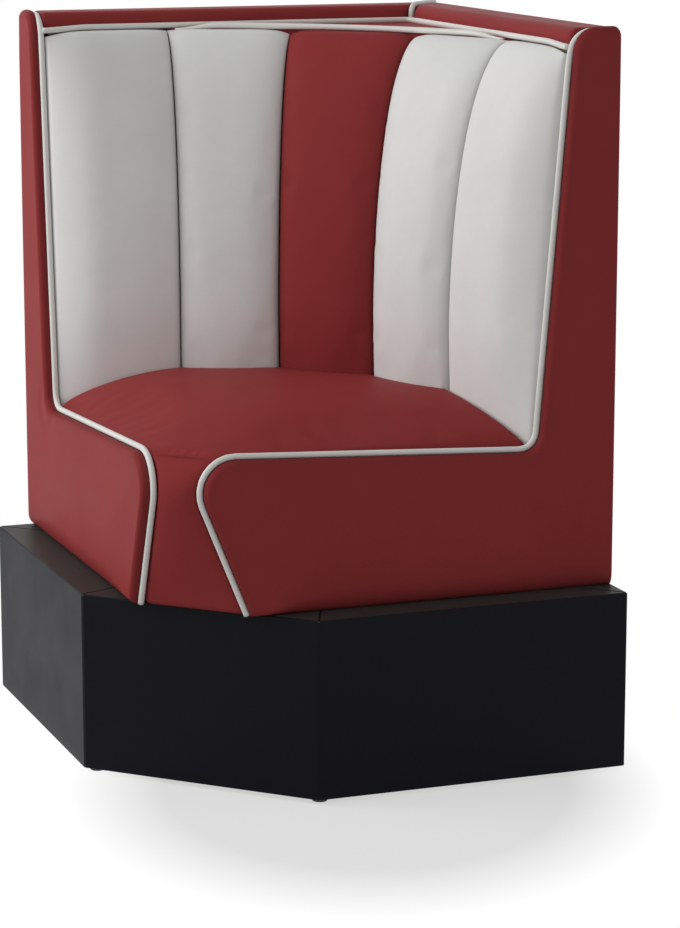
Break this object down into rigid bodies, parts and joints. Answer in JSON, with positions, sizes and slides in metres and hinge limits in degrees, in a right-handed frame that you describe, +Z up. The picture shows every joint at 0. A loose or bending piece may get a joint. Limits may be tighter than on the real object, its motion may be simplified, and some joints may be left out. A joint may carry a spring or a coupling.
{
  "type": "corner booth seating",
  "caption": "Corner booth seat: pentagonal plan, two padded backs at a right angle with vertical channels, crowned seat, piped L-shaped ends, wrapped plinth on levelling glides.",
  "frame": {"origin": "on the floor, under the middle of the plinth's square", "axes": "+Z up; +X and +Y point at the two walls that the backs stand against, and the seat opens towards -X -Y"},
  "size_m": [0.71, 0.71, 1.03],
  "materials": {
    "red_upholstery": "satin",
    "white_upholstery": "satin",
    "white_piping": "satin",
    "black_vinyl": "satin",
    "back_board_cover": "matte",
    "plywood": "matte",
    "timber": "matte",
    "zinc_steel": "satin",
    "glide_plastic": "gloss"
  },
  "bodies": {
    "booth": {"back_board_left": "plywood", "back_board_right": "plywood", "back_channel_1": "white_upholstery", "back_channel_2": "white_upholstery", "back_channel_3": "red_upholstery", "back_channel_4": "white_upholstery", "back_channel_5": "white_upholstery", "back_cover_left": "back_board_cover", "back_cover_right": "back_board_cover", "back_piping": "white_piping", "back_posts": "timber", "body_bolts": "zinc_steel", "body_floor": "plywood", "channel_boards": "plywood", "cleat_screws": "zinc_steel", "corner_blocks": "timber", "corner_filler": "red_upholstery", "corner_post": "timber", "end_board_left": "plywood", "end_board_right": "plywood", "end_pad_left": "red_upholstery", "end_pad_right": "red_upholstery", "end_piping_left": "white_piping", "end_piping_right": "white_piping", "former_middle": "plywood", "former_top": "plywood", "front_board": "plywood", "front_pad": "red_upholstery", "glide_inserts": "zinc_steel", "mitre_piping": "white_piping", "plinth_deck": "plywood", "plinth_panel_back_left": "plywood", "plinth_panel_back_right": "plywood", "plinth_panel_front": "plywood", "plinth_panel_left_end": "plywood", "plinth_panel_right_end": "plywood", "plinth_screws": "zinc_steel", "plinth_side_wrap": "black_vinyl", "plinth_top_wrap": "black_vinyl", "seat_cleats": "timber", "seat_cushion": "red_upholstery", "seat_deck": "plywood", "tee_nuts": "zinc_steel", "top_rail_left": "timber", "top_rail_right": "timber", "wall_cap_left": "red_upholstery", "wall_cap_right": "red_upholstery", "wall_piping": "white_piping"},
    "glide_1": {"glide_pad_1": "glide_plastic"},
    "glide_screw_1": {"glide_stem_1": "zinc_steel"},
    "glide_2": {"glide_pad_2": "glide_plastic"},
    "glide_screw_2": {"glide_stem_2": "zinc_steel"},
    "glide_3": {"glide_pad_3": "glide_plastic"},
    "glide_screw_3": {"glide_stem_3": "zinc_steel"},
    "glide_4": {"glide_pad_4": "glide_plastic"},
    "glide_screw_4": {"glide_stem_4": "zinc_steel"},
    "glide_5": {"glide_pad_5": "glide_plastic"},
    "glide_screw_5": {"glide_stem_5": "zinc_steel"}
  },
  "joints": [
    {"name": "glide_height_1", "type": "slide", "parent": "booth", "child": "glide_1", "axis": [0, 0, -1], "range_m": [0, 0.01]},
    {"name": "glide_turn_1", "type": "hinge", "parent": "glide_1", "child": "glide_screw_1", "pos_m": [-0.3, 0.3, 0.02], "axis": [0, 0, -1], "range_deg": [0, 2880]},
    {"name": "glide_height_2", "type": "slide", "parent": "booth", "child": "glide_2", "axis": [0, 0, -1], "range_m": [0, 0.01]},
    {"name": "glide_turn_2", "type": "hinge", "parent": "glide_2", "child": "glide_screw_2", "pos_m": [-0.333, -0.09089, 0.02], "axis": [0, 0, -1], "range_deg": [0, 2880]},
    {"name": "glide_height_3", "type": "slide", "parent": "booth", "child": "glide_3", "axis": [0, 0, -1], "range_m": [0, 0.01]},
    {"name": "glide_turn_3", "type": "hinge", "parent": "glide_3", "child": "glide_screw_3", "pos_m": [-0.09089, -0.333, 0.02], "axis": [0, 0, -1], "range_deg": [0, 2880]},
    {"name": "glide_height_4", "type": "slide", "parent": "booth", "child": "glide_4", "axis": [0, 0, -1], "range_m": [0, 0.01]},
    {"name": "glide_turn_4", "type": "hinge", "parent": "glide_4", "child": "glide_screw_4", "pos_m": [0.3, -0.3, 0.02], "axis": [0, 0, -1], "range_deg": [0, 2880]},
    {"name": "glide_height_5", "type": "slide", "parent": "booth", "child": "glide_5", "axis": [0, 0, -1], "range_m": [0, 0.01]},
    {"name": "glide_turn_5", "type": "hinge", "parent": "glide_5", "child": "glide_screw_5", "pos_m": [0.3, 0.3, 0.02], "axis": [0, 0, -1], "range_deg": [0, 2880]}
  ],
  "couplings": [
    {"joint": "glide_turn_1", "follows": "glide_height_1", "rad_per_m": 5026.5},
    {"joint": "glide_turn_2", "follows": "glide_height_2", "rad_per_m": 5026.5},
    {"joint": "glide_turn_3", "follows": "glide_height_3", "rad_per_m": 5026.5},
    {"joint": "glide_turn_4", "follows": "glide_height_4", "rad_per_m": 5026.5},
    {"joint": "glide_turn_5", "follows": "glide_height_5", "rad_per_m": 5026.5}
  ]
}
